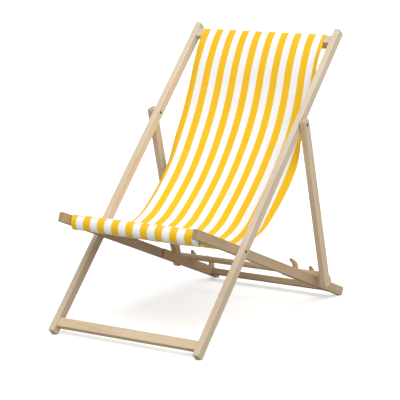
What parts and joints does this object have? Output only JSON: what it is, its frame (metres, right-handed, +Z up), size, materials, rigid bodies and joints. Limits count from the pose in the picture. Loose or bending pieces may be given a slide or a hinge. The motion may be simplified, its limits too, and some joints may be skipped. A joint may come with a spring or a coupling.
{
  "type": "folding sling chair",
  "caption": "Wooden folding sling chair: canvas hung between a reclined main frame and a seat frame, held open by a crossbar in hooked notches.",
  "frame": {"origin": "on the ground, at the centre of the footprint box of the open chair", "axes": "+X from the right-hand side seen from the front is positive, the chair faces -Y, +Z is up"},
  "size_m": [0.5894, 0.903, 0.883],
  "materials": {
    "frame_wood": "planed hardwood, matt clear oil",
    "comb_wood": "planed plywood-thick hardwood, matt",
    "dowel_wood": "turned hardwood, matt",
    "canvas": "striped cotton canvas, plain weave",
    "pivot_steel": "zinc-plated, dull",
    "pin_steel": "bright wire"
  },
  "bodies": {
    "main_frame": {"main_rail_right": "frame_wood", "main_rail_left": "frame_wood", "top_rail": "frame_wood", "foot_rail": "frame_wood", "main_frame_pegs": "dowel_wood", "seat_pivot_bolts": "pivot_steel", "support_pivot_bolts": "pivot_steel", "sling_back": "canvas", "top_sling_dowel": "dowel_wood", "seat_pivot_sleeves": "pivot_steel", "seat_pivot_washers": "pivot_steel", "support_pivot_sleeves": "pivot_steel", "support_pivot_washers": "pivot_steel"},
    "seat_frame": {"seat_rail_right": "frame_wood", "seat_rail_left": "frame_wood", "seat_front_rail": "frame_wood", "seat_rear_rail": "frame_wood", "seat_frame_pegs": "dowel_wood", "notch_comb_right": "comb_wood", "notch_comb_left": "comb_wood", "comb_pins": "pin_steel", "sling_seat": "canvas", "front_sling_dowel": "dowel_wood"},
    "support_frame": {"strut_right": "frame_wood", "strut_left": "frame_wood", "support_crossbar": "frame_wood"}
  },
  "joints": [
    {"name": "seat_fold", "type": "hinge", "parent": "main_frame", "child": "seat_frame", "pos_m": [0, -0.18816, 0.27155], "axis": [1, 0, 0], "range_deg": [-106, 0]},
    {"name": "support_fold", "type": "hinge", "parent": "main_frame", "child": "support_frame", "pos_m": [0, 0.13577, 0.60933], "axis": [1, 0, 0], "range_deg": [-53.53, 0]}
  ],
  "couplings": [
    {"joint": "support_fold", "follows": "seat_fold", "ratio": 0.505}
  ]
}
